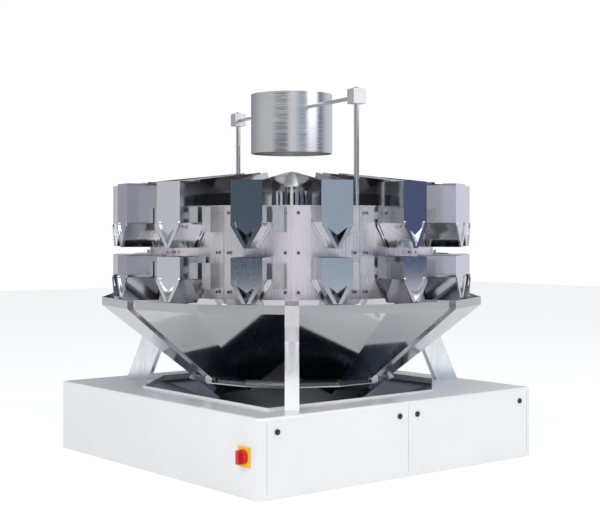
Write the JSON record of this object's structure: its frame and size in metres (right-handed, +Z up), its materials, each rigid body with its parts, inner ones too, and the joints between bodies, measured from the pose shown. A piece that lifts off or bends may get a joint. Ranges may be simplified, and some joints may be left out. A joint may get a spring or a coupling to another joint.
{
  "type": "multihead weigher",
  "caption": "Radial multihead weigher: infeed ring, feeder pans, two rows of gated hoppers round a drum, collecting chutes and legs on a low square cabinet.",
  "frame": {"origin": "on the floor, on the weigher's vertical axis, in the middle of the cabinet", "axes": "+Z up; -Y is the side with the two doors; -X is the side with the main switch"},
  "size_m": [1.3848, 1.3603, 1.318],
  "materials": {
    "white_paint": "gloss powder coat",
    "leg_paint": "gloss powder coat",
    "dark_steel": "pickled sheet in shade",
    "polished_steel": "polished sheet",
    "chute_steel": "polished sheet",
    "hopper_steel": "mirror-polished sheet",
    "satin_steel": "satin sheet",
    "brushed_steel": "brushed rolled sheet",
    "bright_bar": "bright drawn bar",
    "cast_steel": "bead-blasted casting",
    "black_plastic": "moulded",
    "black_rubber": "dark drive housing",
    "yellow_plastic": "moulded",
    "red_plastic": "moulded"
  },
  "bodies": {
    "machine": {"actuators": "cast_steel", "base_frame": "white_paint", "chute_1": "chute_steel", "chute_2": "chute_steel", "chute_3": "chute_steel", "chute_4": "chute_steel", "chute_5": "chute_steel", "chute_6": "chute_steel", "chute_7": "chute_steel", "chute_clamps": "bright_bar", "deck": "white_paint", "discharge_funnel": "polished_steel", "door_left": "white_paint", "door_locks": "black_plastic", "door_right": "white_paint", "drum_core": "satin_steel", "drum_lid": "satin_steel", "drum_panels": "satin_steel", "feeder_pans": "polished_steel", "hopper_mounts": "cast_steel", "leg_brackets": "satin_steel", "leg_front": "leg_paint", "leg_left": "leg_paint", "leg_rear_left": "leg_paint", "leg_rear_right": "leg_paint", "leg_right": "leg_paint", "pool_gates": "hopper_steel", "pool_hoppers": "hopper_steel", "rear_wall": "white_paint", "rods": "bright_bar", "side_wall": "white_paint", "switch_plate": "yellow_plastic", "switch_side_wall": "white_paint", "top_cone": "polished_steel", "vibrators": "black_rubber", "weigh_gates": "hopper_steel", "weigh_hoppers": "hopper_steel", "well_pan": "dark_steel"},
    "infeed": {"infeed_arms": "bright_bar", "infeed_ring": "brushed_steel", "rod_clamps": "cast_steel"},
    "knob": {"switch_knob": "red_plastic"},
    "pool_gate_2_left": {"pool_gate_2_left": "hopper_steel"},
    "pool_gate_2_right": {"pool_gate_2_right": "hopper_steel"},
    "pool_gate_3_left": {"pool_gate_3_left": "hopper_steel"},
    "pool_gate_3_right": {"pool_gate_3_right": "hopper_steel"},
    "weigh_gate_2_left": {"weigh_gate_2_left": "hopper_steel"},
    "weigh_gate_2_right": {"weigh_gate_2_right": "hopper_steel"},
    "weigh_gate_3_left": {"weigh_gate_3_left": "hopper_steel"},
    "weigh_gate_3_right": {"weigh_gate_3_right": "hopper_steel"}
  },
  "joints": [
    {"name": "infeed_height", "type": "slide", "parent": "machine", "child": "infeed", "axis": [0, 0, 1], "range_m": [-0.045, 0]},
    {"name": "main_switch_turn", "type": "hinge", "parent": "machine", "child": "knob", "pos_m": [-0.624, -0.545, 0.128], "axis": [-1, 0, 0], "range_deg": [-90, 0]},
    {"name": "pool_gate_2_left_swing", "type": "hinge", "parent": "machine", "child": "pool_gate_2_left", "pos_m": [-0.32254, -0.56834, 0.839], "axis": [0.4339, 0.901, 0], "range_deg": [0, 38], "stiffness_Nm_per_rad": 1.5, "springref_deg": -34.38},
    {"name": "pool_gate_2_right_swing", "type": "hinge", "parent": "machine", "child": "pool_gate_2_right", "pos_m": [-0.24325, -0.60652, 0.839], "axis": [-0.4339, -0.901, 0], "range_deg": [0, 38], "stiffness_Nm_per_rad": 1.5, "springref_deg": -34.38},
    {"name": "pool_gate_3_left_swing", "type": "hinge", "parent": "machine", "child": "pool_gate_3_left", "pos_m": [-0.53719, -0.37211, 0.839], "axis": [0.7818, 0.6235, 0], "range_deg": [0, 38], "stiffness_Nm_per_rad": 1.5, "springref_deg": -34.38},
    {"name": "pool_gate_3_right_swing", "type": "hinge", "parent": "machine", "child": "pool_gate_3_right", "pos_m": [-0.48232, -0.44092, 0.839], "axis": [-0.7818, -0.6235, 0], "range_deg": [0, 38], "stiffness_Nm_per_rad": 1.5, "springref_deg": -34.38},
    {"name": "weigh_gate_2_left_swing", "type": "hinge", "parent": "machine", "child": "weigh_gate_2_left", "pos_m": [-0.32254, -0.56834, 0.653], "axis": [0.4339, 0.901, 0], "range_deg": [0, 38], "stiffness_Nm_per_rad": 1.5, "springref_deg": -34.38},
    {"name": "weigh_gate_2_right_swing", "type": "hinge", "parent": "machine", "child": "weigh_gate_2_right", "pos_m": [-0.24325, -0.60652, 0.653], "axis": [-0.4339, -0.901, 0], "range_deg": [0, 38], "stiffness_Nm_per_rad": 1.5, "springref_deg": -34.38},
    {"name": "weigh_gate_3_left_swing", "type": "hinge", "parent": "machine", "child": "weigh_gate_3_left", "pos_m": [-0.53719, -0.37211, 0.653], "axis": [0.7818, 0.6235, 0], "range_deg": [0, 38], "stiffness_Nm_per_rad": 1.5, "springref_deg": -34.38},
    {"name": "weigh_gate_3_right_swing", "type": "hinge", "parent": "machine", "child": "weigh_gate_3_right", "pos_m": [-0.48232, -0.44092, 0.653], "axis": [-0.7818, -0.6235, 0], "range_deg": [0, 38], "stiffness_Nm_per_rad": 1.5, "springref_deg": -34.38}
  ],
  "couplings": [
    {"joint": "pool_gate_2_right_swing", "follows": "pool_gate_2_left_swing", "ratio": 1},
    {"joint": "pool_gate_3_right_swing", "follows": "pool_gate_3_left_swing", "ratio": 1},
    {"joint": "weigh_gate_2_right_swing", "follows": "weigh_gate_2_left_swing", "ratio": 1},
    {"joint": "weigh_gate_3_right_swing", "follows": "weigh_gate_3_left_swing", "ratio": 1}
  ]
}
